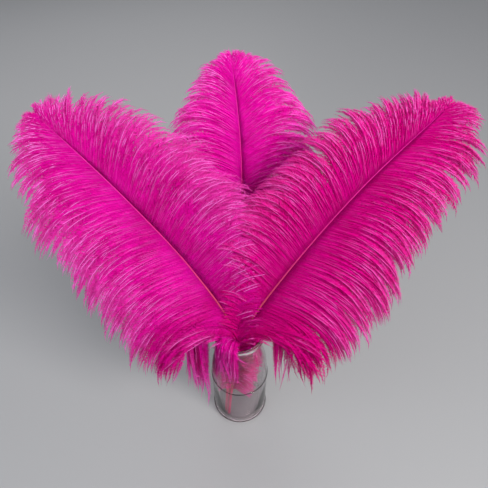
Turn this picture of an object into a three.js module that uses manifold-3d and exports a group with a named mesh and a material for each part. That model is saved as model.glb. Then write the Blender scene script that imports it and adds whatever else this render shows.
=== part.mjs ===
// Three dyed ostrich plumes standing in a small glass bottle vase.
// Millimetres, +Z up. The origin is the middle of the vase's foot, and the plumes face -Y.
import * as THREE from 'three';
import { mergeVertices } from 'three/addons/utils/BufferGeometryUtils.js';
import Module from 'manifold-3d';

const wasm = await Module();
wasm.setup();

// Vase: a straight body, a shoulder that draws in to the neck, and a thick lip
const VASE = {
  height: 152,
  bodyRadius: 31,
  wall: 2.6,
  floor: 5,
  heelRadius: 5,
  ridgeHeight: 75,
  ridgeWidth: 5,
  ridgeRise: 0.8,
  shoulderPull: { below: 30, above: 24 },
  neckRadius: 24.2,
  lipRadius: 25.2,
  lipHeight: 11,
  lipSlope: 1.2,
  mouthRadius: 22,
  sides: 36,
};

// Plumes: the shaft runs from the quill's end on the vase floor to the tip.
// face is the way that the plume's front looks, at the quill and at the tip.
// reach is the length of the barbs on the viewer's left and right of the shaft, from the vase's
// mouth (0) to the tip (1), hang is how much of their droop each side has, and dye is the colour.
const PLUMES = [
  {
    name: 'feather_left',
    shaft: [
      [-14.5, -17.5, 5.4], [-10, -10, 80], [-6, 0, 152],
      [-40, 8, 235], [-90, 20, 312], [-143, 35, 376],
    ],
    face: [[0.15, -0.9, 0.3], [0.2, -0.85, 0.45]],
    reach: [
      [[0, 114], [0.2, 102], [0.45, 100], [0.73, 83], [0.88, 54], [1, 14]],
      [[0, 86], [0.2, 100], [0.45, 92], [0.73, 66], [0.88, 46], [1, 14]],
    ],
    hang: [1, 0.62],
    dye: 0xd71d99,
  },
  {
    name: 'feather_right',
    shaft: [[-8, -21.5, 5.4], [-2, -10, 80], [6, 0, 152], [44, 8, 235], [95, 20, 320], [147, 35, 389]],
    face: [[-0.15, -0.9, 0.3], [-0.2, -0.85, 0.45]],
    reach: [
      [[0, 86], [0.2, 100], [0.45, 90], [0.73, 58], [0.88, 34], [1, 10]],
      [[0, 114], [0.2, 103], [0.45, 98], [0.73, 80], [0.88, 56], [1, 12]],
    ],
    hang: [0.62, 1],
    dye: 0xb80870,
  },
  {
    name: 'feather_back',
    shaft: [[-11.3, -19.6, 5.4], [-6, -2, 80], [0, 12, 152], [3, 46, 240], [2, 78, 320], [-5, 110, 384]],
    face: [[0, -0.9, 0.3], [0, -0.9, 0.5]],
    reach: [
      [[0, 86], [0.2, 98], [0.45, 76], [0.73, 57], [0.88, 36], [1, 10]],
      [[0, 88], [0.2, 100], [0.45, 88], [0.73, 67], [0.88, 43], [1, 12]],
    ],
    hang: [1, 1],
    dye: 0xd41590,
  },
];

// How barbs grow, from the vase's mouth (0) to the tip (1): degrees off the shaft, lift off the
// vane, how far they hang down, and how far they curl back towards the quill
const ANGLE = [[0, 60], [0.25, 64], [0.65, 56], [0.88, 44], [1, 22]];
const LIFT = [[0, 0.42], [0.12, 0.24], [1, 0.12]];
const DROOP = [[0, 4.2], [0.07, 2.8], [0.17, 1.95], [0.5, 1.75], [0.82, 1.4], [1, 0.5]];
const CURL = [[0, 0.28], [1, 0.2]];
const DROOP_POWER = 1.6;
const CURL_POWER = 2;
const CURL_OUT = 0.3;
const DOWN = new THREE.Vector3(0, 0, -1);
const PATH_STEPS = 28;

// Shaft radius from the quill's end (0) to the tip (1)
const SHAFT_RADIUS = [[0, 0.7], [0.02, 1.3], [0.25, 1.5], [0.5, 1.2], [0.8, 0.9], [1, 0.5]];
const QUILL = { to: 78, sides: 6, steps: 5 };

// Barbs lie together in locks. A plume's vanes are one sheet across the shaft, with a fold along
// every lock, a notch between the locks' tips and the shaft as a rib down its middle.
// Distances from and to are measured up the shaft: downy tufts in the vase, then the vane.
const TUFTS = { from: 72, to: 146, locks: 4, angle: 24, reach: 42, lift: 0.12 };
const VANE = { from: 159, locks: 23 };
const LOCK_STEPS = 4;
const SHEET_THICKNESS = [[0, 1.7], [1, 1]];
const FOLD = 1.3;
const NOTCH = 0.26;

// Room that the barbs keep: half of it to the middle between two shafts, and off the glass
const PLUME_ROOM = 5;
const GLASS_ROOM = { inner: 17.5, outer: 36, top: VASE.height + 4 };
const SHAFT_SAMPLES = 90;

// The value of a table of [place, value] pairs at a place, in straight lines between them
function lookUp(table, place) {
  const next = table.findIndex(([at]) => at >= place);
  if (next <= 0) return table[next === 0 ? 0 : table.length - 1][1];
  const [a, from] = table[next - 1];
  const [b, to] = table[next];
  return THREE.MathUtils.mapLinear(place, a, b, from, to);
}

// A closed three.js geometry as a manifold-3d solid
function solidOf(geometry) {
  const bare = geometry.clone();
  bare.deleteAttribute('normal');
  bare.deleteAttribute('uv');
  const merged = mergeVertices(bare);
  return new wasm.Manifold(new wasm.Mesh({
    numProp: 3,
    vertProperties: merged.attributes.position.array,
    triVerts: new Uint32Array(merged.index.array),
  }));
}

// A manifold-3d solid as a three.js geometry
function geometryOf(solid) {
  const { vertProperties, triVerts } = solid.getMesh();
  const geometry = new THREE.BufferGeometry();
  geometry.setAttribute('position', new THREE.BufferAttribute(vertProperties, 3));
  geometry.setIndex(new THREE.BufferAttribute(triVerts, 1));
  geometry.computeVertexNormals();
  return geometry;
}

// Points of an arc in the lathe's half-plane, from one angle to another in degrees
function arc(centreRadius, centreHeight, radius, from, to, steps) {
  return Array.from({ length: steps + 1 }, (_, i) => {
    const angle = THREE.MathUtils.degToRad(from + ((to - from) * i) / steps);
    return [centreRadius + radius * Math.cos(angle), centreHeight + radius * Math.sin(angle)];
  });
}

// The shoulder's curve from the ridge up to the neck, moved in by a wall's thickness
function shoulder(inset, steps) {
  const { ridgeHeight, bodyRadius, shoulderPull, neckRadius, height, lipHeight } = VASE;
  const curve = new THREE.CubicBezierCurve(
    new THREE.Vector2(bodyRadius - inset, ridgeHeight),
    new THREE.Vector2(bodyRadius - inset, ridgeHeight + shoulderPull.below),
    new THREE.Vector2(neckRadius - inset, height - lipHeight - shoulderPull.above),
    new THREE.Vector2(neckRadius - inset, height - lipHeight),
  );
  return curve.getPoints(steps).map((p) => [p.x, p.y]);
}

function vaseGeometry() {
  const { height, bodyRadius, wall, floor, heelRadius, ridgeHeight, ridgeWidth, ridgeRise } = VASE;
  const { lipRadius, lipHeight, lipSlope, mouthRadius, sides } = VASE;
  const inside = bodyRadius - wall;
  const lipRound = (lipRadius - mouthRadius) / 2;
  const profile = [
    [0, 0],
    ...arc(bodyRadius - heelRadius, heelRadius, heelRadius, -90, 0, 3),
    [bodyRadius, ridgeHeight - ridgeWidth],
    [bodyRadius + ridgeRise, ridgeHeight - ridgeWidth / 4],
    ...shoulder(0, 5),
    [lipRadius, height - lipHeight + lipSlope],
    ...arc(lipRadius - lipRound, height - lipRound, lipRound, 0, 180, 4),
    [mouthRadius, height - lipHeight],
    ...shoulder(wall, 5).reverse(),
    ...arc(inside - heelRadius, floor + heelRadius, heelRadius, 0, -90, 2),
    [0, floor],
  ];
  const lathe = new THREE.LatheGeometry(profile.map(([r, z]) => new THREE.Vector2(r, z)), sides);
  return lathe.rotateX(Math.PI / 2);
}

// Even steps from one value to another, both ends included
function spaced(from, to, count) {
  return Array.from({ length: count + 1 }, (_, i) => THREE.MathUtils.lerp(from, to, i / count));
}

// A plume's shaft, with the directions that its vanes grow in at any distance up it
class Plume {
  constructor({ name, shaft, face, reach, hang, dye }) {
    const points = shaft.map((p) => new THREE.Vector3(...p));
    this.name = name;
    this.curve = new THREE.CatmullRomCurve3(points, false, 'catmullrom', 0.5);
    this.length = this.curve.getLength();
    this.samples = this.curve.getSpacedPoints(SHAFT_SAMPLES);
    this.face = face.map((f) => new THREE.Vector3(...f).normalize());
    this.reach = reach;
    this.hang = hang;
    this.dye = dye;
  }

  at(distance) {
    const share = THREE.MathUtils.clamp(distance / this.length, 0, 1);
    const centre = this.curve.getPointAt(share);
    const along = this.curve.getTangentAt(share);
    const front = this.face[0].clone().lerp(this.face[1], share);
    front.addScaledVector(along, -front.dot(along)).normalize();
    const right = new THREE.Vector3().crossVectors(along, front);
    return { centre, along, front, right, radius: lookUp(SHAFT_RADIUS, share) };
  }

  distanceTo(point) {
    return Math.min(...this.samples.map((sample) => sample.distanceTo(point)));
  }

  // How a barb grows: straight up out of the mouth from inside the vase, arching over above it
  growth(side, distance) {
    const place = (distance - VANE.from) / (this.length - VANE.from);
    if (place < 0) return { angle: TUFTS.angle, reach: TUFTS.reach, lift: TUFTS.lift, droop: 0, curl: 0 };
    return {
      angle: lookUp(ANGLE, place),
      reach: lookUp(this.reach[side], place),
      lift: lookUp(LIFT, place),
      droop: lookUp(DROOP, place) * this.hang[side],
      curl: lookUp(CURL, place),
    };
  }

  // The line of one barb: it leaves the shaft at its angle, then hangs and curls more and more
  // until it has its length or comes to where isClear says no
  barbLine(side, distance, isClear) {
    const { centre, along, front, right } = this.at(distance);
    const { angle, reach, lift, droop, curl } = this.growth(side, distance);
    const sideways = right.multiplyScalar(side ? 1 : -1);
    const start = along.clone().multiplyScalar(Math.cos(THREE.MathUtils.degToRad(angle)))
      .addScaledVector(sideways, Math.sin(THREE.MathUtils.degToRad(angle)))
      .addScaledVector(front, lift)
      .normalize();
    const back = sideways.multiplyScalar(CURL_OUT).sub(along);
    const points = [centre];
    for (let i = 0; i < PATH_STEPS; i++) {
      const share = (i + 0.5) / PATH_STEPS;
      const step = start.clone()
        .addScaledVector(DOWN, droop * share ** DROOP_POWER)
        .addScaledVector(back, curl * share ** CURL_POWER)
        .setLength(reach / PATH_STEPS);
      const next = points[i].clone().add(step);
      if (i > 1 && !isClear(next)) break;
      points.push(next);
    }
    return new THREE.CatmullRomCurve3(points, false, 'catmullrom', 0.5);
  }

  // One column of the sheet as a function of its row, from the left tips (-1) to the right (1):
  // the middle of the sheet there, the way that its front looks, and half its thickness
  column(distance, onFold, isClear) {
    const { centre, along, front, right, radius } = this.at(distance);
    const lines = [0, 1].map((side) => this.barbLine(side, distance, isClear));
    const rows = LOCK_STEPS + 1;
    return (row) => {
      const step = Math.round(Math.abs(row) * rows) - 1;
      if (step < 0) return { point: centre.clone(), front, half: radius };
      const sign = Math.sign(row);
      const edge = centre.clone().addScaledVector(right, sign * radius);
      if (step === 0) return { point: edge, front, half: Math.min(radius, SHEET_THICKNESS[0][1] / 2) };
      const share = (step / LOCK_STEPS) * (onFold ? 1 : 1 - NOTCH);
      const line = lines[sign < 0 ? 0 : 1];
      const outward = new THREE.Vector3().crossVectors(line.getTangent(share), along).setLength(sign);
      const point = line.getPoint(share).addScaledVector(outward, (onFold ? FOLD : -FOLD) / 2);
      return { point, front: outward, half: lookUp(SHEET_THICKNESS, share) / 2 };
    };
  }

  // Both vanes and the rib between them. The columns lie by turns on a lock's fold and between
  // two locks.
  sheet(isClear) {
    const distances = [
      ...spaced(TUFTS.from, TUFTS.to, 2 * TUFTS.locks),
      ...spaced(VANE.from, this.length, 2 * VANE.locks - 1),
    ];
    const columns = distances.map((distance, i) => this.column(distance, i % 2 === 1, isClear));
    const bands = columns.length - 1;
    const geometry = new THREE.BoxGeometry(2, 2, 2, bands, 2 * LOCK_STEPS + 2, 1);
    const position = geometry.attributes.position;
    for (let i = 0; i < position.count; i++) {
      const column = columns[Math.round(((position.getX(i) + 1) / 2) * bands)];
      const { point, front, half } = column(position.getY(i));
      point.addScaledVector(front, -half * position.getZ(i));
      position.setXYZ(i, point.x, point.y, point.z);
    }
    return solidOf(geometry);
  }

  // The bare quill below the tufts
  quill() {
    const geometry = new THREE.CylinderGeometry(1, 1, 1, QUILL.sides, QUILL.steps);
    const position = geometry.attributes.position;
    for (let i = 0; i < position.count; i++) {
      const { centre, front, right, radius } = this.at((position.getY(i) + 0.5) * QUILL.to);
      centre.addScaledVector(right, position.getX(i) * radius);
      centre.addScaledVector(front, position.getZ(i) * radius);
      position.setXYZ(i, centre.x, centre.y, centre.z);
    }
    return solidOf(geometry);
  }

  // The whole plume, keeping to the room nearer to its own shaft than to the others'
  solid(others) {
    const isClear = (point) => {
      const radius = Math.hypot(point.x, point.y);
      const { inner, outer, top } = GLASS_ROOM;
      if (point.z < top && radius > inner && radius < outer) return false;
      const own = this.distanceTo(point);
      return others.every((other) => other.distanceTo(point) > own + PLUME_ROOM);
    };
    return this.quill().add(this.sheet(isClear));
  }
}

const glass = new THREE.MeshStandardMaterial({
  color: 0xdde4e2,
  roughness: 0.05,
  transparent: true,
  opacity: 0.35,
});

const arrangement = new THREE.Group();
const vase = new THREE.Mesh(vaseGeometry(), glass);
vase.name = 'vase';
arrangement.add(vase);

const plumes = PLUMES.map((plume) => new Plume(plume));
for (const plume of plumes) {
  const others = plumes.filter((other) => other !== plume);
  const down = new THREE.MeshStandardMaterial({ color: plume.dye, roughness: 0.75 });
  const feather = new THREE.Mesh(geometryOf(plume.solid(others)), down);
  feather.name = plume.name;
  arrangement.add(feather);
}

export default arrangement;
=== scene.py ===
"""Three dyed ostrich plumes in a small glass bottle vase. Metres, +Z up, the plumes face -Y."""

import math

import bpy
import numpy as np
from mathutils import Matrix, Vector


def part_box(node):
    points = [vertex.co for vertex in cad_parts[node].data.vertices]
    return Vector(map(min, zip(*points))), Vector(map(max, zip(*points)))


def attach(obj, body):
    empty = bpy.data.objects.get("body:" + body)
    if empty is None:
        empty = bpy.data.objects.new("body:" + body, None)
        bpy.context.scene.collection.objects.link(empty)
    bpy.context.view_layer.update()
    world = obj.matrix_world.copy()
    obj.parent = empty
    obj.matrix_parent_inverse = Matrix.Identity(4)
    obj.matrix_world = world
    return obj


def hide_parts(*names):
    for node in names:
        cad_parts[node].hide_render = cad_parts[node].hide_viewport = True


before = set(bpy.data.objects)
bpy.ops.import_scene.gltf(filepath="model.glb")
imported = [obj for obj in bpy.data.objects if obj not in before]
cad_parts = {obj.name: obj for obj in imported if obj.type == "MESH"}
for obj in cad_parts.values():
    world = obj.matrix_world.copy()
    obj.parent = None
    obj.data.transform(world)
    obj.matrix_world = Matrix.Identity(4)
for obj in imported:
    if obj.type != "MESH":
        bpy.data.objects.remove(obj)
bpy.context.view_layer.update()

# Vase
VASE_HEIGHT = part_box("vase")[1].z
BODY_RADIUS = 0.031
WALL = 0.0026
FLOOR_THICKNESS = 0.005
HEEL_RADIUS = 0.004
HEEL_STEPS = 8
NECK_RADIUS = 0.0238
SHOULDER_PULL = (0.030, 0.024)
SHOULDER_STEPS = 16
VASE_SEGMENTS = 96
GLASS_SMOOTH_UNDER = 32

# Underside of the vase: the foot ring's inner radius as a share of its outer one, the recess's as a
# share of that, and how deep the recess is
FOOT_RING = 0.93
FOOT_SLOPE = 0.90
FOOT_RECESS = 0.0012

# Thin raised rings round the body, with the shares of their width between which they are highest
RIDGE_HEIGHT = 0.075
RIDGE_RISE = 0.0007
RIDGE_WIDTH = 0.0018
RIDGE_CREST = (0.6, 0.3)

# Lip, an upright oval in section. Its outer and inner arcs have a start and an end in degrees, and a
# number of steps.
LIP_RADIUS = 0.0254
LIP_HEIGHT = 0.011
MOUTH_RADIUS = 0.022
LIP_OUTSIDE = (-78, 90, 14)
LIP_INSIDE = (102, 180, 7)

# Barbs, from the lowest down in the vase, at FIRST_BARB up the shaft, to the tip. Each table gives
# values at places: below 0 is in the vase, 0 is just above its mouth, at MOUTH_BARB, and 1 is the tip.
FIRST_BARB = 0.052
MOUTH_BARB = 0.159
BARB_SPACING = 0.00062
BARB_STEPS = 10
REACH_IN_VASE = [(-0.36, 0.028), (-0.2, 0.04), (-0.06, 0.045)]

# How barbs leave the shaft: degrees off it, and how far they lift to the plume's front
ANGLE = [(-0.36, 48), (-0.15, 34), (-0.05, 44), (0, 60), (0.25, 64), (0.65, 56), (0.88, 44), (1, 22)]
LIFT = [(-0.36, 0.2), (-0.1, 0.2), (0, 0.3), (0.12, 0.24), (1, 0.12)]

# How strongly barbs hang, with the further droop of limp ones, and where the mouth holds them up
DROOP = [(-0.36, 1.6), (-0.12, 0.9), (-0.02, 0.6), (0, 3.5), (0.07, 3.1), (0.17, 2.4), (0.5, 2.2),
         (0.78, 1.6), (1, 0.4)]
DROOP_POWER = 2.2
LIMP = [(0, 0), (0.015, 1.8), (0.08, 1.1), (0.16, 0)]
HELD_BY_MOUTH = [(-0.02, 0), (0, 1), (0.08, 1), (0.3, 0)]

# How strongly barbs curl back towards the quill, and outwards with it
CURL = [(0, 0.28), (1, 0.2)]
CURL_POWER = 2.0
CURL_OUT = 0.3

# How much barbs vary, as spreads from lock to lock and from barb to barb. Unruly ones vary so many
# times more in angle and lift.
VARIES = {
    "angle": (0.2, 1.5),
    "lift": (0.003, 0.016),
    "reach": (0.04, 0.07),
    "droop": (0.01, 0.05),
    "curl": (0.01, 0.05),
    "tone": (0.03, 0.08),
}
UNRULY = [(-0.36, 12), (-0.05, 7), (0.03, 2.2), (0.16, 1)]

# Reach of barbs as a share of the tables', the least and the most that it changes by, the share of
# barbs that are long, and how much longer they are
USUAL_REACH = 0.96
REACH_CHANGE = (-0.25, 0.12)
LONG_BARBS = 0.05
LONG_BARB_REACH = 1.12

# Sideways waves of a barb: how far, how many, and how much of it each barb has
WANDER = 0.0009
WANDER_WAVES = (0.8, 2.2)
WANDER_SHARE = (0.3, 1)

# Barbs as tubes: their radius from root to tip, and the corners round them in degrees
BARB_RADIUS = [(0, 0.00028), (0.6, 0.00025), (0.9, 0.00015), (1, 0.00005)]
BARB_CORNERS = (90, 210, 330)

# Locks, in which neighbouring barbs draw together towards their tips
LOCK_WIDTH = (0.002, 0.006)
LOCK_GATHER = 0.45
LOCK_GATHER_POWER = 7.0
LOCKS_AT_MOST = 200

# Barbules, the fine fringe on both sides of each barb, in degrees off it from its root to its tip.
# Barbs shorter than FULL_FRINGE_REACH have a shorter fringe.
BARBULE_SPACING = 0.00078
BARBULE_LENGTH = [(0, 0.0068), (0.6, 0.0070), (0.8, 0.0056), (0.92, 0.0018), (1, 0.0004)]
BARBULE_LENGTH_SHARE = (0.7, 1.15)
BARBULE_WIDTH = 0.00095
FULL_FRINGE_REACH = 0.085
LEAST_FRINGE = 0.6
BARBULE_ANGLE = [(0, 46), (0.7, 38), (0.9, 22), (1, 12)]
BARBULE_ANGLE_SPREAD = 8
BARBULE_SPREAD = 45
BARBULE_SAG = 0.15
BARBULE_BEHIND = 0.15

# How far barbs and barbules keep off the glass, and how far above the rim the vase still holds them
BARB_ROOM = 0.0016
BARBULE_ROOM = 0.0004
RIM_ROOM = 0.002

# Tone of the dye, from deep at 0 to bright at 1, how much painted shade darkens the tone of
# barbs in the vase and near the mouth, and the tone below which barbs are less pale towards
# their tips, so that the painted shade also dims the painted light that pales their tips
TONE = 0.55
IN_SHADE = [(-0.36, 0.1), (-0.05, 0.25), (0.08, 0.35), (0.24, 0)]
DARK_TONE = 0.5

# Barbs that lie on top get a painted highlight, a paler colour along their outer part, and fewer
# barbs get it in the painted shade. Their fringe, which counts from FRINGE_ROOT at a barb to 1 at a
# barbule's tip, gets less of it.
GLINTING_BARBS = 0.5
GLINTING_LIFT = 0.03
GLINT = [(0, 0.05), (0.25, 0.2), (0.5, 0.8), (0.8, 1), (1, 0.8)]
GLINT_LOST_IN_SHADE = 2.5
GLINT_LOST_ON_FRINGE = 0.85
FRINGE_ROOT = 0.6

# Each barb has a row of its own in its piece's map, with a margin on both sides
ROW_MARGIN = 0.1

# Shafts, with their radius from the quill's end to the tip
SHAFT_RADIUS = [(0, 0.0017), (0.2, 0.0018), (0.35, 0.0010), (0.6, 0.0006), (0.8, 0.0004), (1, 0.0002)]
SHAFT_SAMPLES = 600
SHAFT_RESOLUTION = 24
SHAFT_ROUNDNESS = 2
SHAFT_SMOOTH_UNDER = 50

# Loose tufts round the mouth: degrees round from the front, how far out from the vase's middle they
# hang, and how far below the rim they end. Their crest is above the rim, and rises with how far out
# they hang.
TUFTS = {
    "rim_tuft": {"node": "feather_left", "turn": (-54, -8), "out": (0.0270, 0.0300),
                 "down": (0.014, 0.060), "count": 46, "seed": 51},
    "left_tuft": {"node": "feather_left", "turn": (-104, -68), "out": (0.0370, 0.0560),
                  "down": (0.050, 0.120), "count": 120, "seed": 53},
    "right_tuft": {"node": "feather_right", "turn": (72, 104), "out": (0.0370, 0.0580),
                   "down": (0.030, 0.100), "count": 46, "seed": 57},
}
TUFT_SWAY = 8
TUFT_CREST = (0.003, 0.006)
TUFT_CREST_RISE = 0.5
TUFT_STEPS = 12
TUFT_TONE = 0.5
TUFT_TONE_SPREAD = 0.15

# Plumes: points up the shaft, the way that the front looks at the quill and at the tip, how far the
# barbs reach on the left and on the right side, and how much of the droop each side has, higher up
# and at the mouth
PLUMES = {
    "feather_left": {
        "shaft": [(-0.0168, -0.0168, 0.0054), (-0.0115, -0.010, 0.080), (-0.006, 0, 0.152),
                  (-0.040, 0.008, 0.235), (-0.090, 0.020, 0.312), (-0.143, 0.035, 0.376)],
        "face": [(0.15, -0.9, 0.3), (0.2, -0.85, 0.45)],
        "reach": [
            [(0, 0.114), (0.2, 0.108), (0.45, 0.098), (0.6, 0.088), (0.73, 0.080), (0.86, 0.056),
             (1, 0.008)],
            [(0, 0.034), (0.1, 0.054), (0.3, 0.100), (0.45, 0.094), (0.73, 0.070), (0.88, 0.042),
             (1, 0.008)],
        ],
        "hang": (1, 0.62),
        "mouth_hang": (1, 0.12),
        "seed": 11,
    },
    "feather_right": {
        "shaft": [(-0.0134, -0.0200, 0.0054), (-0.0060, -0.0105, 0.080), (0.006, 0, 0.152),
                  (0.044, 0.008, 0.235), (0.095, 0.020, 0.319), (0.149, 0.035, 0.384)],
        "face": [(-0.15, -0.9, 0.3), (-0.2, -0.85, 0.45)],
        "reach": [
            [(0, 0.034), (0.1, 0.054), (0.3, 0.094), (0.45, 0.078), (0.73, 0.062), (0.88, 0.034),
             (1, 0.006)],
            [(0, 0.114), (0.2, 0.107), (0.45, 0.098), (0.7, 0.073), (0.87, 0.060), (0.95, 0.034),
             (1, 0.008)],
        ],
        "hang": (0.62, 1),
        "mouth_hang": (0.12, 1),
        "seed": 23,
    },
    "feather_back": {
        "shaft": [(-0.0134, -0.0163, 0.0054), (-0.0077, -0.0035, 0.080), (0, 0.012, 0.152),
                  (0.003, 0.046, 0.240), (0.002, 0.078, 0.320), (-0.005, 0.110, 0.384)],
        "face": [(0, -0.9, 0.3), (0, -0.9, 0.5)],
        "reach": [
            [(0, 0.040), (0.25, 0.073), (0.45, 0.072), (0.73, 0.070), (0.88, 0.042), (1, 0.006)],
            [(0, 0.040), (0.25, 0.073), (0.45, 0.077), (0.73, 0.077), (0.88, 0.043), (1, 0.006)],
        ],
        "hang": (1, 1),
        "mouth_hang": (0.2, 0.2),
        "seed": 37,
    },
}
SIDES = ("left_vane", "right_vane")

# Dye of each plume, how glossy its barbs are, and the share of light that passes through them. The
# tip colour is painted light: the paler colour of lit tips and of the painted highlights.
DYES = {
    "feather_left": {"deep": (0.60, 0.001, 0.24), "bright": (0.83, 0.004, 0.46),
                     "tip": (0.96, 0.27, 0.87), "gloss": 0.06, "sheerness": 0.42},
    "feather_right": {"deep": (0.67, 0.001, 0.245), "bright": (0.79, 0.002, 0.36),
                      "tip": (0.94, 0.19, 0.75), "gloss": 0.03, "sheerness": 0.5},
    "feather_back": {"deep": (0.70, 0.001, 0.33), "bright": (0.93, 0.005, 0.57),
                     "tip": (0.98, 0.24, 0.85), "gloss": 0.06, "sheerness": 0.42},
}
BARB_ROUGHNESS = 0.5

# Uneven take-up of the dye as clouds in each plume, and painted light: paler tips, and gaps that
# break up each painted highlight
DYE_CLOUD_SCALE = 42
DYE_CLOUD_RANGE = (0.35, 0.65)
DYE_CLOUD_CHANGE = (-0.22, 0.22)
PALE_FROM = 0.5
PALE_AT_TIP = 0.3
GAP_STEP_BY_TONE = 400
GAPS_DOWN_BARB = 7
GAP_RANGE = (0.42, 0.60)

# Colour of the shafts between two heights, as shares of the way up, and their darker streaks
SHAFT_COLOUR_HEIGHTS = (0.02, 0.39)
SHAFT_COLOURS = [(0, (0.60, 0.001, 0.13)), (0.42, (0.56, 0.06, 0.11)), (0.66, (0.66, 0.02, 0.22)),
                 (1, (0.88, 0.006, 0.42))]
SHAFT_STREAK_SCALE = 260
SHAFT_STREAKS = 0.35
SHAFT_ROUGHNESS = 0.4
SHAFT_GLOSS = 0.25

# Glass: its tint, how bright its reflections are, what it lets through to its shadow, and the colour
# and strength of its dimming with thickness
GLASS_TINT = (0.95, 0.92, 0.945)
GLASS_IOR = 1.5
GLASS_REFLECTION = (0.4, 0.4, 0.4)
GLASS_SHADOW = (0.55, 0.53, 0.54)
GLASS_DIMMING = (0.59, 0.46, 0.48)
GLASS_DIMMING_DENSITY = 42
MOULD_WAVE_SCALE = 130
MOULD_WAVE_UPRIGHT = 0.12
MOULD_WAVE_STRENGTH = 0.3
MOULD_WAVE_HEIGHT = 0.0005

# Floor, and the pale surroundings from the horizon up
FLOOR_SIZE = 6
FLOOR_PLACE = (0, 1, 0)
FLOOR_COLOUR = (0.232, 0.235, 0.244)
FLOOR_ROUGHNESS = 0.5
SURROUNDINGS = [(0, (0.03, 0.03, 0.03)), (0.16, (0.17, 0.165, 0.16)), (0.8, (0.68, 0.70, 0.74))]

# Lights, with their power in watts
LIGHTS = {
    "key": {"place": (0.75, -0.75, 1.25), "size": 0.65, "power": 34, "colour": (1, 0.97, 0.93)},
    "fill": {"place": (-0.9, -0.6, 1.0), "size": 1.2, "power": 8, "colour": (0.94, 0.96, 1)},
    "back_fill": {"place": (-0.35, 1.1, 0.9), "size": 1.2, "power": 5, "colour": (1, 0.98, 0.96)},
}
LIGHTS_LOOK_AT = (0, 0, 0.2)

# Camera: degrees that it looks down by, its sensor in millimetres, and its focal length and the
# photograph's width in pixels
CAMERA_PLACE = (0.005, -0.263, 0.557)
CAMERA_DOWN = 46.5
SENSOR_WIDTH = 36
FOCAL_LENGTH = 470
PHOTO_WIDTH = 488

DOWNWARD = np.array([0.0, 0.0, -1.0])
TINY = 1e-6


def look_up(table, places):
    """The values of a table of (place, value) pairs at some places."""
    at, values = zip(*table)
    return np.interp(places, at, values)


def unit(vectors):
    """The same vectors with a length of 1."""
    return vectors / np.maximum(np.linalg.norm(vectors, axis=-1, keepdims=True), TINY)


def catmull_rom(points, steps=60):
    """Points on a smooth curve through the given ones."""
    points = np.array(points, float)
    padded = np.vstack([2 * points[0] - points[1], points, 2 * points[-1] - points[-2]])
    t = np.linspace(0, 1, steps, endpoint=False)[:, None]
    spans = []
    for before, start, end, after in zip(padded, padded[1:], padded[2:], padded[3:]):
        bend = (2 * before - 5 * start + 4 * end - after) * t**2
        twist = (3 * start - before - 3 * end + after) * t**3
        spans.append(0.5 * (2 * start + (end - before) * t + bend + twist))
    return np.vstack([*spans, points[-1:]])


def run_along(line):
    """How far along a line each of its points is."""
    return np.concatenate([[0], np.cumsum(np.linalg.norm(np.diff(line, axis=0), axis=1))])


def interpolate(at, places, values):
    """Vectors between those of a list, at the given places."""
    return np.stack([np.interp(at, places, axis_values) for axis_values in values.T], axis=-1)


class Shaft:
    """The middle line of a plume, with the directions that its barbs grow in."""

    def __init__(self, points, face):
        line = catmull_rom(points)
        run = run_along(line)
        self.length = run[-1]
        self.distances = np.linspace(0, self.length, SHAFT_SAMPLES)
        self.line = interpolate(self.distances, run, line)
        self.tangents = unit(np.gradient(self.line, axis=0))
        self.face = unit(np.array(face, float))

    def at(self, distances):
        """Centre, direction along, front and right of the shaft at each distance up it."""
        centre = interpolate(distances, self.distances, self.line)
        along = unit(interpolate(distances, self.distances, self.tangents))
        front = self.face[0] + (self.face[1] - self.face[0]) * (distances / self.length)[:, None]
        front = unit(front - along * np.sum(front * along, axis=1, keepdims=True))
        return centre, along, front, np.cross(along, front)


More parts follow.
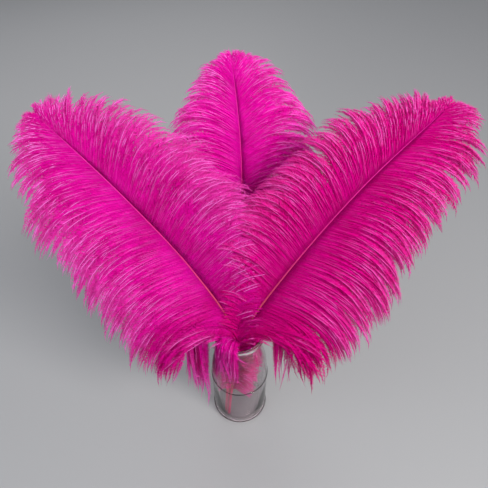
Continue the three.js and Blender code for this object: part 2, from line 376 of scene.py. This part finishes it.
def barb_lines(shaft, plume, side, rng):
    """The lines of a side's barbs, as (barb, step, xyz), the shaft's way at each, the tone of
    their dye with its painted shade, and which barbs get painted highlights.
    """
    count = int((shaft.length - FIRST_BARB) / BARB_SPACING)
    distances = np.linspace(FIRST_BARB, shaft.length, count)
    places = (distances - MOUTH_BARB) / (shaft.length - MOUTH_BARB)
    edges = np.cumsum(rng.uniform(*LOCK_WIDTH, size=LOCKS_AT_MOST)) + FIRST_BARB
    lock = np.searchsorted(edges, distances)

    def vary(what):
        by_lock, by_barb = VARIES[what]
        return rng.normal(0, by_lock, LOCKS_AT_MOST + 1)[lock] + rng.normal(0, by_barb, count)

    centre, along, front, right = shaft.at(distances)
    outward = right * (1 if side else -1)
    # Painted shade in the vase and near the mouth: it darkens the tone, and fewer barbs there get a
    # painted highlight
    shade = look_up(IN_SHADE, places)
    glint = rng.uniform(0, 1, count) < GLINTING_BARBS * (1 - GLINT_LOST_IN_SHADE * shade)
    unruly = look_up(UNRULY, places)
    angle = np.radians(look_up(ANGLE, places) + vary("angle") * unruly)[:, None]
    lift = (look_up(LIFT, places) + vary("lift") * unruly + GLINTING_LIFT * glint)[:, None]
    reach = look_up(REACH_IN_VASE + plume["reach"][side], places)
    reach = reach * (USUAL_REACH + np.clip(vary("reach"), *REACH_CHANGE))
    reach = reach * np.where(rng.uniform(0, 1, count) < LONG_BARBS, LONG_BARB_REACH, 1)
    hang, mouth_hang = plume["hang"][side], plume["mouth_hang"][side]
    hang = hang + (mouth_hang - hang) * look_up(HELD_BY_MOUTH, places)
    droop = look_up(DROOP, places) * hang * (1 + vary("droop"))
    droop = droop * (1 + rng.uniform(0, 1, count) * look_up(LIMP, places))
    curl = look_up(CURL, places) + vary("curl")

    start = unit(along * np.cos(angle) + outward * np.sin(angle) + front * lift)
    back = outward * CURL_OUT - along
    shares = ((np.arange(BARB_STEPS) + 0.5) / BARB_STEPS)[None, :, None]
    hanging = droop[:, None, None] * DOWNWARD * shares**DROOP_POWER
    curling = curl[:, None, None] * back[:, None] * shares**CURL_POWER
    steps = unit(start[:, None] + hanging + curling) * (reach / BARB_STEPS)[:, None, None]
    grown = np.concatenate([np.zeros((count, 1, 3)), np.cumsum(steps, axis=1)], axis=1)
    lines = gather_into_locks(centre[:, None] + grown, lock)
    lines = lines + wander(count, along, rng) + wander(count, front, rng)
    # The dye's tone, darkened by the painted shade
    tone = np.clip(TONE - shade + vary("tone"), 0, 1)
    return lines, along, tone, glint


def wander(count, direction, rng):
    """Gentle sideways waves for barbs, along one direction each, that grow from the shaft."""
    shares = np.linspace(0, 1, BARB_STEPS + 1)[None]
    waves = rng.uniform(*WANDER_WAVES, (count, 1))
    start = rng.uniform(0, 2 * math.pi, (count, 1))
    sway = WANDER * rng.uniform(*WANDER_SHARE, (count, 1)) * shares**0.5
    return (sway * np.sin(2 * math.pi * waves * shares + start))[..., None] * direction[:, None]


def gather_into_locks(lines, lock):
    """Draws the barbs of each lock towards their middle line, more so near the tips."""
    total = np.zeros((LOCKS_AT_MOST + 1, *lines.shape[1:]))
    np.add.at(total, lock, lines)
    middle = total[lock] / np.bincount(lock, minlength=LOCKS_AT_MOST + 1)[lock][:, None, None]
    along_barb = np.linspace(0, 1, lines.shape[1])[None, :, None]
    return lines + (middle - lines) * LOCK_GATHER * along_barb**LOCK_GATHER_POWER


def within_glass(lines):
    """Which points of the barb lines are in the vase, rather than beside or above it."""
    radius = np.linalg.norm(lines[..., :2], axis=-1)
    below = lines[..., 2] < VASE_HEIGHT + RIM_ROOM
    from_inside = np.logical_and.accumulate(below, axis=1)
    falling_back = below & ~from_inside
    first = np.argmax(falling_back, axis=1)[:, None]
    drops_in = np.take_along_axis(radius, first, axis=1) < (MOUTH_RADIUS + LIP_RADIUS) / 2
    return from_inside | (falling_back & drops_in)


def keep_off_glass(points, inside, room):
    """Moves points that are too near the vase's wall to where they leave some room."""
    radius = np.linalg.norm(points[..., :2], axis=-1)
    height = points[..., 2]
    inner_radii, inner_heights = zip(*reversed(vase_inside()))
    outer_radii, outer_heights = zip(*vase_outside())
    inner = np.interp(height, inner_heights, inner_radii) - room
    outer = np.interp(height, outer_heights, outer_radii) + room
    kept = np.where(inside, np.minimum(radius, inner), np.maximum(radius, outer))
    kept = np.where(height < VASE_HEIGHT + room, kept, radius)
    moved = points.copy()
    moved[..., :2] *= (kept / np.maximum(radius, TINY))[..., None]
    return moved


def barb_tubes(lines, along):
    """Thin tubes on the barb lines: corners, triangles, and each corner's barb and share of it."""
    count, rings = lines.shape[:2]
    tangents = unit(np.gradient(lines, axis=1))
    on_tangents = np.sum(along[:, None] * tangents, axis=2, keepdims=True)
    side = unit(along[:, None] - tangents * on_tangents)
    normal = np.cross(tangents, side)
    shares = np.linspace(0, 1, rings)
    radius = look_up(BARB_RADIUS, shares)[None, :, None]
    corners = []
    for angle in np.radians(BARB_CORNERS):
        corners.append(lines + radius * (side * math.cos(angle) + normal * math.sin(angle)))
    corners = np.stack(corners, axis=2)
    index = np.arange(count * rings * 3).reshape(count, rings, 3)
    here, after = index[:, :-1], index[:, 1:]
    turned_here, turned_after = np.roll(here, -1, axis=2), np.roll(after, -1, axis=2)
    walls = np.stack([here, turned_here, turned_after, here, turned_after, after], axis=-1)
    ends = np.concatenate([index[:, 0, ::-1], index[:, -1]])
    triangles = np.concatenate([walls.reshape(-1, 3), ends.reshape(-1, 3)])
    barb = np.repeat(np.arange(count), rings * 3)
    share = np.broadcast_to(shares[None, :, None], (count, rings, 3)).ravel()
    return corners.reshape(-1, 3), triangles, barb, share


def barbules(lines, along, side, inside, rng):
    """The fringe of the barbs: corners, triangles, and each corner's barb, share and fringe."""
    count = len(lines)
    reach = np.linalg.norm(lines[:, 1] - lines[:, 0], axis=1) * BARB_STEPS
    slots = int(reach.max() / BARBULE_SPACING)
    offsets = rng.uniform(0, 1, (count, slots, 2))
    shares = (np.arange(slots)[None, :, None] + offsets) * BARBULE_SPACING / reach[:, None, None]
    barb, slot, edge = np.nonzero(shares < 1)
    share = shares[barb, slot, edge]
    place = share * BARB_STEPS
    ring = np.minimum(place.astype(int), BARB_STEPS - 1)
    here, after = lines[barb, ring], lines[barb, ring + 1]
    root = here + (after - here) * (place - ring)[:, None]
    tangent = unit(after - here)
    across = unit(along[barb] - tangent * np.sum(along[barb] * tangent, axis=1, keepdims=True))
    behind = np.cross(tangent, across) * (-1 if side else 1)
    turn = np.abs(rng.normal(0, math.radians(BARBULE_SPREAD), len(barb)))[:, None]
    sideways = across * np.cos(turn) * np.where(edge, 1, -1)[:, None] + behind * np.sin(turn)
    angle = look_up(BARBULE_ANGLE, share) + rng.normal(0, BARBULE_ANGLE_SPREAD, len(barb))
    angle = np.radians(angle)[:, None]
    heading = tangent * np.cos(angle) + sideways * np.sin(angle)
    heading = unit(heading + DOWNWARD * BARBULE_SAG + behind * BARBULE_BEHIND)
    length = look_up(BARBULE_LENGTH, share) * rng.uniform(*BARBULE_LENGTH_SHARE, len(barb))
    length = length * np.clip(reach[barb] / FULL_FRINGE_REACH, LEAST_FRINGE, 1)
    tip = keep_off_glass(root + heading * length[:, None], inside[barb, ring], BARBULE_ROOM)
    half = tangent * BARBULE_WIDTH / 2
    corners = np.stack([root - half, root + half, tip], axis=1)
    triangles = np.arange(len(barb) * 3).reshape(-1, 3)
    fringe = np.tile([FRINGE_ROOT, FRINGE_ROOT, 1.0], len(barb))
    return corners.reshape(-1, 3), triangles, np.repeat(barb, 3), np.repeat(share, 3), fringe


def mesh_piece(name, corners, triangles, values, row, share):
    """A mesh object from arrays, with its point values and a map that lays each barb in a row."""
    mesh = bpy.data.meshes.new(name)
    mesh.vertices.add(len(corners))
    mesh.vertices.foreach_set("co", corners.astype(np.float32).ravel())
    mesh.loops.add(triangles.size)
    mesh.loops.foreach_set("vertex_index", triangles.astype(np.int32).ravel())
    mesh.polygons.add(len(triangles))
    mesh.polygons.foreach_set("loop_start", np.arange(0, triangles.size, 3, dtype=np.int32))
    mesh.update()
    for value_name, value in values.items():
        layer = mesh.attributes.new(value_name, "FLOAT", "POINT")
        layer.data.foreach_set("value", value.astype(np.float32))
    places = np.stack([share, row], axis=1)[triangles.ravel()]
    layer = mesh.uv_layers.new(name="OFBake")
    layer.data.foreach_set("uv", places.astype(np.float32).ravel())
    piece = bpy.data.objects.new(name, mesh)
    bpy.context.scene.collection.objects.link(piece)
    return piece


def barb_piece(name, node, lines, along, side, tone, glint, rng, material):
    """Barbs with their barbules as one mesh, kept off the glass."""
    inside = within_glass(lines)
    lines = keep_off_glass(lines, inside, BARB_ROOM)
    tube_corners, tube_triangles, tube_barb, tube_share = barb_tubes(lines, along)
    fine = barbules(lines, along, side, inside, rng)
    fine_corners, fine_triangles, fine_barb, fine_share, fine_fringe = fine
    corners = np.concatenate([tube_corners, fine_corners])
    triangles = np.concatenate([tube_triangles, fine_triangles + len(tube_corners)])
    barb = np.concatenate([tube_barb, fine_barb])
    share = np.concatenate([tube_share, fine_share])
    fringe = np.concatenate([np.zeros(len(tube_corners)), fine_fringe])
    dulled = 1 - GLINT_LOST_ON_FRINGE * np.minimum(fringe / FRINGE_ROOT, 1)
    # The tone carries the painted shade, toward_tip the painted light that pales lit tips, dimmed in
    # that shade, and glint the painted highlight, less on the fringe
    values = {
        "barb_tone": tone[barb],
        "toward_tip": share * np.minimum(tone[barb] / DARK_TONE, 1),
        "glint": glint[barb] * look_up(GLINT, share) * dulled,
    }
    row = (barb + ROW_MARGIN + (1 - 2 * ROW_MARGIN) * fringe) / len(lines)
    piece = mesh_piece(name, corners, triangles, values, row, share)
    piece.data.materials.append(material)
    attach(piece, "root")
    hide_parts(node)


def vane(name, node, side, material):
    """One side of a plume, from the down in the vase to the tip."""
    plume = PLUMES[node]
    rng = np.random.default_rng(plume["seed"] + side)
    shaft = Shaft(plume["shaft"], plume["face"])
    lines, along, tone, glint = barb_lines(shaft, plume, side, rng)
    barb_piece(name, node, lines, along, side, tone, glint, rng, material)


def tuft(name, node, turn, out, down, count, seed, material):
    """Loose barbs that come out of the mouth, bend over the rim and hang beside the glass."""
    rng = np.random.default_rng(seed)
    lines, along = [], []
    for _ in range(count):
        sway = math.radians(rng.normal(0, TUFT_SWAY))
        radius = rng.uniform(*out)
        fall = rng.uniform(*down)
        crest = rng.uniform(*TUFT_CREST) + (radius - LIP_RADIUS) * TUFT_CREST_RISE
        angle = math.radians(rng.uniform(*turn))
        # Far from the vase's middle, above the rim, and the share of the sway there
        route = [
            (0.004, -0.014, 0),
            (0.015, crest * 0.7, 0),
            (radius * 0.9, crest, 0.2),
            (radius, -fall * 0.3, 0.5),
            (radius * rng.uniform(0.97, 1.06), -fall * 0.65, 1),
            (radius * rng.uniform(0.96, 1.1), -fall, rng.uniform(0.6, 1.8)),
        ]
        points = []
        for far, above, swayed in route:
            heading = angle + sway * swayed
            points.append((far * math.sin(heading), -far * math.cos(heading), VASE_HEIGHT + above))
        line = catmull_rom(points, TUFT_STEPS)
        run = run_along(line)
        lines.append(interpolate(np.linspace(0, run[-1], BARB_STEPS + 1), run, line))
        along.append((math.cos(angle), math.sin(angle), 0))
    # A random tone of the dye, and which barbs get a painted highlight
    tone = np.clip(TUFT_TONE + rng.normal(0, TUFT_TONE_SPREAD, count), 0, 1)
    glint = rng.uniform(0, 1, count) < GLINTING_BARBS
    barb_piece(name, node, np.array(lines), np.array(along), 1, tone, glint, rng, material)


def arc(centre_radius, centre_height, radius, start, end, steps):
    """(radius, height) pairs on an arc, from one angle to another in degrees."""
    angles = np.radians(np.linspace(start, end, steps + 1))
    return [
        (centre_radius + radius * math.cos(a), centre_height + radius * math.sin(a)) for a in angles
    ]


def shoulder(inset):
    """(radius, height) pairs from the ridge up to the neck, moved in by a wall's thickness."""
    low, high = BODY_RADIUS - inset, NECK_RADIUS - inset
    top = VASE_HEIGHT - LIP_HEIGHT
    pulls = np.array([(low, RIDGE_HEIGHT), (low, RIDGE_HEIGHT + SHOULDER_PULL[0]),
                      (high, top - SHOULDER_PULL[1]), (high, top)])
    t = np.linspace(0, 1, SHOULDER_STEPS + 1)[:, None]
    weights = np.hstack([(1 - t) ** 3, 3 * (1 - t) ** 2 * t, 3 * (1 - t) * t**2, t**3])
    return [tuple(p) for p in weights @ pulls]


def lip(start, end, steps):
    """(radius, height) pairs round a part of the lip, from one angle to another in degrees."""
    middle, half_width = (LIP_RADIUS + MOUTH_RADIUS) / 2, (LIP_RADIUS - MOUTH_RADIUS) / 2
    half_height = LIP_HEIGHT / 2
    angles = np.radians(np.linspace(start, end, steps + 1))
    return [
        (middle + half_width * math.cos(a), VASE_HEIGHT + half_height * (math.sin(a) - 1))
        for a in angles
    ]


def raised_ring(top):
    """(radius, height) pairs up a thin raised ring round the straight body, to the ring's top."""
    return [
        (BODY_RADIUS, top - RIDGE_WIDTH),
        *[(BODY_RADIUS + RIDGE_RISE, top - RIDGE_WIDTH * share) for share in RIDGE_CREST],
        (BODY_RADIUS, top),
    ]


def vase_outside():
    """(radius, height) pairs up the outside of the vase, from the foot to the lip."""
    heel = arc(BODY_RADIUS - HEEL_RADIUS, HEEL_RADIUS, HEEL_RADIUS, -90, 0, HEEL_STEPS)
    return [
        *heel[:-1],
        *raised_ring(HEEL_RADIUS + RIDGE_WIDTH),
        *raised_ring(RIDGE_HEIGHT),
        *shoulder(0)[1:],
        *lip(*LIP_OUTSIDE),
    ]


def vase_inside():
    """(radius, height) pairs down the inside of the vase, from the lip to the floor."""
    heel_middle = BODY_RADIUS - WALL - HEEL_RADIUS, FLOOR_THICKNESS + HEEL_RADIUS
    return [
        *lip(*LIP_INSIDE),
        *shoulder(WALL)[::-1],
        *arc(*heel_middle, HEEL_RADIUS, 0, -90, HEEL_STEPS),
    ]


def deselect_all():
    """Leaves nothing selected, so that the next operator works on the new piece alone."""
    bpy.ops.object.select_all(action="DESELECT")


def vase():
    """The glass vase, turned from one ring that is extruded along its outline."""
    deselect_all()
    outline = [*vase_outside(), *vase_inside()]
    radius, height = outline[0]
    bpy.ops.mesh.primitive_circle_add(
        vertices=VASE_SEGMENTS, radius=radius, location=(0, 0, height)
    )
    piece = bpy.context.object
    piece.name = "glass_vase"
    piece.data.name = "glass_vase"
    bpy.ops.object.mode_set(mode="EDIT")
    bpy.ops.mesh.select_all(action="SELECT")
    for next_radius, next_height in outline[1:]:
        rise = (0, 0, next_height - height)
        bpy.ops.mesh.extrude_region_move(TRANSFORM_OT_translate={"value": rise})
        grow = next_radius / radius
        bpy.ops.transform.resize(value=(grow, grow, 1))
        radius, height = next_radius, next_height
    bpy.ops.mesh.fill()
    bpy.ops.object.mode_set(mode="OBJECT")
    close_foot(piece)
    bpy.ops.object.transform_apply(location=True, rotation=True, scale=True)
    bpy.ops.object.mode_set(mode="EDIT")
    bpy.ops.mesh.select_all(action="SELECT")
    bpy.ops.mesh.normals_make_consistent(inside=False)
    bpy.ops.object.mode_set(mode="OBJECT")
    bpy.ops.object.shade_smooth_by_angle(angle=math.radians(GLASS_SMOOTH_UNDER))
    piece.data.materials.append(clear_glass())
    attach(piece, "root")
    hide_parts("vase")


def close_foot(piece):
    """Closes the underside with a shallow recess inside the ring that the vase stands on."""
    vertices = piece.data.vertices
    for vertex in vertices:
        vertex.select = vertex.co.z + piece.location.z < TINY
    for edge in piece.data.edges:
        edge.select = all(vertices[v].select for v in edge.vertices)
    for face in piece.data.polygons:
        face.select = False
    bpy.ops.object.mode_set(mode="EDIT")
    for deeper, narrower in ((0, FOOT_RING), (FOOT_RECESS, FOOT_SLOPE)):
        bpy.ops.mesh.extrude_region_move(TRANSFORM_OT_translate={"value": (0, 0, deeper)})
        bpy.ops.transform.resize(value=(narrower, narrower, 1))
    bpy.ops.mesh.fill()
    bpy.ops.object.mode_set(mode="OBJECT")


def shaft_piece(name, node, material):
    """The quill and shaft of a plume, a tapering rod along its middle line."""
    points = [Vector(p) for p in PLUMES[node]["shaft"]]
    last = len(points) - 1
    deselect_all()
    bpy.ops.curve.primitive_bezier_curve_add(location=(0, 0, 0))
    piece = bpy.context.object
    piece.name = name
    spline = piece.data.splines[0]
    spline.bezier_points.add(len(points) - 2)
    run = run_along(points)
    radii = look_up(SHAFT_RADIUS, run / run[-1])
    for i, knot in enumerate(spline.bezier_points):
        before, after = max(i - 1, 0), min(i + 1, last)
        lean = (points[after] - points[before]) / (3 * (after - before))
        knot.handle_left_type = "FREE"
        knot.handle_right_type = "FREE"
        knot.co = points[i]
        knot.handle_left = points[i] - lean
        knot.handle_right = points[i] + lean
        knot.radius = radii[i] / radii.max()
    piece.data.dimensions = "3D"
    piece.data.resolution_u = SHAFT_RESOLUTION
    piece.data.bevel_depth = radii.max()
    piece.data.bevel_resolution = SHAFT_ROUNDNESS
    piece.data.use_fill_caps = True
    bpy.ops.object.convert(target="MESH")
    piece = bpy.context.object
    bpy.ops.object.shade_smooth_by_angle(angle=math.radians(SHAFT_SMOOTH_UNDER))
    piece.data.materials.clear()
    piece.data.materials.append(material)
    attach(piece, "root")
    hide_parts(node)


def blank_material(name):
    """A new material with nodes, its node tree and its Principled shader."""
    material = bpy.data.materials.new(name)
    material.use_nodes = True
    return material, material.node_tree, material.node_tree.nodes["Principled BSDF"]


def feed(tree, value, socket):
    """Links a socket to an output of another node, or sets it to a number."""
    if isinstance(value, bpy.types.NodeSocket):
        tree.links.new(value, socket)
    else:
        socket.default_value = value


def noise(tree, vector, scale, detail):
    """A cloudy noise at a vector."""
    node = tree.nodes.new("ShaderNodeTexNoise")
    node.inputs["Scale"].default_value = scale
    node.inputs["Detail"].default_value = detail
    tree.links.new(vector, node.inputs["Vector"])
    return node.outputs["Fac"]


def moved_range(tree, value, old_range, new_range=(0, 1)):
    """A value moved from one range to another, and held within it."""
    node = tree.nodes.new("ShaderNodeMapRange")
    limits = (*old_range, *new_range)
    for name, limit in zip(("From Min", "From Max", "To Min", "To Max"), limits):
        node.inputs[name].default_value = limit
    tree.links.new(value, node.inputs["Value"])
    return node.outputs["Result"]


def product(tree, first, second):
    """Two values multiplied."""
    node = tree.nodes.new("ShaderNodeMath")
    node.operation = "MULTIPLY"
    feed(tree, first, node.inputs[0])
    feed(tree, second, node.inputs[1])
    return node.outputs[0]


def held_sum(tree, first, second):
    """Two values added, and held between 0 and 1."""
    node = tree.nodes.new("ShaderNodeMath")
    node.operation = "ADD"
    node.use_clamp = True
    feed(tree, first, node.inputs[0])
    feed(tree, second, node.inputs[1])
    return node.outputs[0]


def mixed_colours(tree, share, first, second, blend="MIX"):
    """Two colours mixed, by a share of the second."""
    node = tree.nodes.new("ShaderNodeMix")
    node.data_type = "RGBA"
    node.blend_type = blend
    feed(tree, share, node.inputs["Factor"])
    colours = [socket for socket in node.inputs if socket.type == "RGBA"]
    for colour, socket in zip((first, second), colours):
        feed(tree, colour, socket)
    return next(socket for socket in node.outputs if socket.type == "RGBA")


def colour_ramp(tree, value, stops):
    """A colour that a value picks between some stops, as (value, colour) pairs."""
    node = tree.nodes.new("ShaderNodeValToRGB")
    elements = node.color_ramp.elements
    elements.remove(elements[-1])
    first_place, first_colour = stops[0]
    elements[0].position = first_place
    elements[0].color = (*first_colour, 1)
    for place, colour in stops[1:]:
        elements.new(place).color = (*colour, 1)
    feed(tree, value, node.inputs["Fac"])
    return node.outputs["Color"]


def height_in(tree, vector):
    """The upright part of a vector."""
    node = tree.nodes.new("ShaderNodeSeparateXYZ")
    tree.links.new(vector, node.inputs["Vector"])
    return node.outputs["Z"]


def mix_for_surface(tree, share, first, second):
    """Makes the surface of a material from two shaders, mixed by a share of the second."""
    mix = tree.nodes.new("ShaderNodeMixShader")
    feed(tree, share, mix.inputs["Fac"])
    tree.links.new(first, mix.inputs[1])
    tree.links.new(second, mix.inputs[2])
    tree.links.new(mix.outputs["Shader"], tree.nodes["Material Output"].inputs["Surface"])


def mould_waves(tree):
    """The normal of glass with faint upright waves from its mould."""
    place = tree.nodes.new("ShaderNodeTexCoord").outputs["Object"]
    upright = tree.nodes.new("ShaderNodeMapping")
    upright.inputs["Scale"].default_value = (1, 1, MOULD_WAVE_UPRIGHT)
    tree.links.new(place, upright.inputs["Vector"])
    bump = tree.nodes.new("ShaderNodeBump")
    bump.inputs["Strength"].default_value = MOULD_WAVE_STRENGTH
    bump.inputs["Distance"].default_value = MOULD_WAVE_HEIGHT
    waves = noise(tree, upright.outputs["Vector"], MOULD_WAVE_SCALE, detail=1)
    tree.links.new(waves, bump.inputs["Height"])
    return bump.outputs["Normal"]


def clear_glass():
    """Clear soda glass, which lets the lamps' light through and is darker where it is thick."""
    material, tree, glass = blank_material("clear_soda_glass")
    glass.inputs["Base Color"].default_value = (*GLASS_TINT, 1)
    glass.inputs["Roughness"].default_value = 0
    glass.inputs["IOR"].default_value = GLASS_IOR
    glass.inputs["Metallic"].default_value = 0
    glass.inputs["Transmission Weight"].default_value = 1
    glass.inputs["Specular Tint"].default_value = (*GLASS_REFLECTION, 1)
    tree.links.new(mould_waves(tree), glass.inputs["Normal"])
    rays = tree.nodes.new("ShaderNodeLightPath")
    let_through = tree.nodes.new("ShaderNodeBsdfTransparent")
    let_through.inputs["Color"].default_value = (*GLASS_SHADOW, 1)
    in_shadow = rays.outputs["Is Shadow Ray"]
    mix_for_surface(tree, in_shadow, glass.outputs["BSDF"], let_through.outputs["BSDF"])
    dimming = tree.nodes.new("ShaderNodeVolumeAbsorption")
    dimming.inputs["Color"].default_value = (*GLASS_DIMMING, 1)
    dimming.inputs["Density"].default_value = GLASS_DIMMING_DENSITY
    tree.links.new(dimming.outputs["Volume"], tree.nodes["Material Output"].inputs["Volume"])
    return material


def dye_light_shade_group():
    """Node group: the dye's colour along a barb, with its uneven take-up and the painted shade in its
    tone, and painted light: paler tips, and broken painted highlights along glinting barbs.
    """
    group = bpy.data.node_groups.new("dye_light_and_shade", "ShaderNodeTree")
    for name, kind in (("Deep", "NodeSocketColor"), ("Bright", "NodeSocketColor"),
                       ("Tip", "NodeSocketColor"), ("Tone", "NodeSocketFloat"),
                       ("Toward Tip", "NodeSocketFloat"), ("Glint", "NodeSocketFloat")):
        group.interface.new_socket(name=name, in_out="INPUT", socket_type=kind)
    group.interface.new_socket(name="Color", in_out="OUTPUT", socket_type="NodeSocketColor")
    given = group.nodes.new("NodeGroupInput").outputs
    result = group.nodes.new("NodeGroupOutput")

    place = group.nodes.new("ShaderNodeTexCoord").outputs["Object"]
    clouds = noise(group, place, DYE_CLOUD_SCALE, detail=2)
    clouds = moved_range(group, clouds, DYE_CLOUD_RANGE, DYE_CLOUD_CHANGE)
    body_tone = held_sum(group, given["Tone"], clouds)
    body = mixed_colours(group, body_tone, given["Deep"], given["Bright"])

    # Gaps that break up each barb's painted highlight, in a row of their own by its tone
    on_barb = group.nodes.new("ShaderNodeCombineXYZ")
    own_row = product(group, given["Tone"], GAP_STEP_BY_TONE)
    down_barb = product(group, given["Toward Tip"], GAPS_DOWN_BARB)
    group.links.new(own_row, on_barb.inputs["X"])
    group.links.new(down_barb, on_barb.inputs["Y"])
    gaps = noise(group, on_barb.outputs["Vector"], scale=1, detail=0)
    gaps = moved_range(group, gaps, GAP_RANGE)
    # Painted highlights where the gaps let them through, and painted light that pales the tips
    glint = product(group, gaps, given["Glint"])
    lit_tips = moved_range(group, given["Toward Tip"], (PALE_FROM, 1), (0, PALE_AT_TIP))
    tip_light_and_highlight = held_sum(group, lit_tips, glint)
    colour = mixed_colours(group, tip_light_and_highlight, body, given["Tip"])
    group.links.new(colour, result.inputs["Color"])
    return group


def dyed_barbs(name, group, deep, bright, tip, gloss, sheerness):
    """Dyed barbs that some light passes through, with painted light that makes their tips paler than
    their roots, and painted highlights along glinting barbs.
    """
    material, tree, surface = blank_material(name)
    dye = tree.nodes.new("ShaderNodeGroup")
    dye.node_tree = group
    for socket, colour in (("Deep", deep), ("Bright", bright), ("Tip", tip)):
        dye.inputs[socket].default_value = (*colour, 1)
    for socket, value_name in (
        ("Tone", "barb_tone"),
        ("Toward Tip", "toward_tip"),
        ("Glint", "glint"),
    ):
        value = tree.nodes.new("ShaderNodeAttribute")
        value.attribute_name = value_name
        tree.links.new(value.outputs["Fac"], dye.inputs[socket])
    tree.links.new(dye.outputs["Color"], surface.inputs["Base Color"])
    surface.inputs["Roughness"].default_value = BARB_ROUGHNESS
    surface.inputs["Specular IOR Level"].default_value = gloss
    through = tree.nodes.new("ShaderNodeBsdfTranslucent")
    tree.links.new(dye.outputs["Color"], through.inputs["Color"])
    mix_for_surface(tree, sheerness, surface.outputs["BSDF"], through.outputs["BSDF"])
    return material


def dyed_shaft(name):
    """The horny shaft: red in the vase, orange-red just above it and pink towards the tip."""
    material, tree, surface = blank_material(name)
    place = tree.nodes.new("ShaderNodeTexCoord").outputs["Object"]
    way_up = moved_range(tree, height_in(tree, place), SHAFT_COLOUR_HEIGHTS)
    dye = colour_ramp(tree, way_up, SHAFT_COLOURS)
    streaks = noise(tree, place, SHAFT_STREAK_SCALE, detail=2)
    streaked = mixed_colours(tree, SHAFT_STREAKS, dye, streaks, "MULTIPLY")
    tree.links.new(streaked, surface.inputs["Base Color"])
    surface.inputs["Roughness"].default_value = SHAFT_ROUGHNESS
    surface.inputs["Specular IOR Level"].default_value = SHAFT_GLOSS
    return material


def pale_floor():
    """The pale floor, out to far past the camera's view."""
    deselect_all()
    bpy.ops.mesh.primitive_plane_add(size=FLOOR_SIZE, location=FLOOR_PLACE)
    floor = bpy.context.object
    floor.name = "pale_floor"
    bpy.ops.object.transform_apply(location=True, rotation=True, scale=True)
    material, _, surface = blank_material("pale_floor")
    surface.inputs["Base Color"].default_value = (*FLOOR_COLOUR, 1)
    surface.inputs["Roughness"].default_value = FLOOR_ROUGHNESS
    floor.data.materials.append(material)


def area_light(name, place, size, power, colour):
    """A square soft light that looks at the plumes."""
    light = bpy.data.lights.new(name, "AREA")
    light.size = size
    light.energy = power
    light.color = colour
    lamp = bpy.data.objects.new(name, light)
    lamp.location = place
    heading = Vector(LIGHTS_LOOK_AT) - Vector(place)
    lamp.rotation_euler = heading.to_track_quat("-Z", "Y").to_euler()
    bpy.context.scene.collection.objects.link(lamp)


def surroundings():
    """Pale surroundings that are darker near the horizon, for soft light and reflections."""
    world = bpy.data.worlds.new("pale_surroundings")
    world.use_nodes = True
    tree = world.node_tree
    direction = tree.nodes.new("ShaderNodeTexCoord").outputs["Generated"]
    colour = colour_ramp(tree, height_in(tree, direction), SURROUNDINGS)
    tree.links.new(colour, tree.nodes["Background"].inputs["Color"])
    tree.nodes["Background"].inputs["Strength"].default_value = 1
    bpy.context.scene.world = world
    bpy.context.scene.view_settings.view_transform = "Standard"


def photograph_camera():
    """The camera, at the photograph's viewing angle."""
    camera = bpy.data.cameras.new("camera")
    camera.sensor_width = SENSOR_WIDTH
    camera.lens = SENSOR_WIDTH * FOCAL_LENGTH / PHOTO_WIDTH
    viewer = bpy.data.objects.new("camera", camera)
    viewer.location = CAMERA_PLACE
    viewer.rotation_euler = (math.radians(90 - CAMERA_DOWN), 0, 0)
    bpy.context.scene.collection.objects.link(viewer)
    bpy.context.scene.camera = viewer


for name, light in LIGHTS.items():
    area_light(name, **light)
surroundings()
photograph_camera()
pale_floor()
vase()
dye = dye_light_shade_group()
shaft_dye = dyed_shaft("dyed_shaft")
for node in PLUMES:
    short = node.replace("feather_", "")
    shaft_piece(f"shaft_{short}", node, shaft_dye)
    barbs = dyed_barbs(f"dyed_barbs_{short}", dye, **DYES[node])
    for side, side_name in enumerate(SIDES):
        vane(f"{short}_{side_name}", node, side, barbs)
    for name, shape in TUFTS.items():
        if shape["node"] == node:
            tuft(name, material=barbs, **shape)
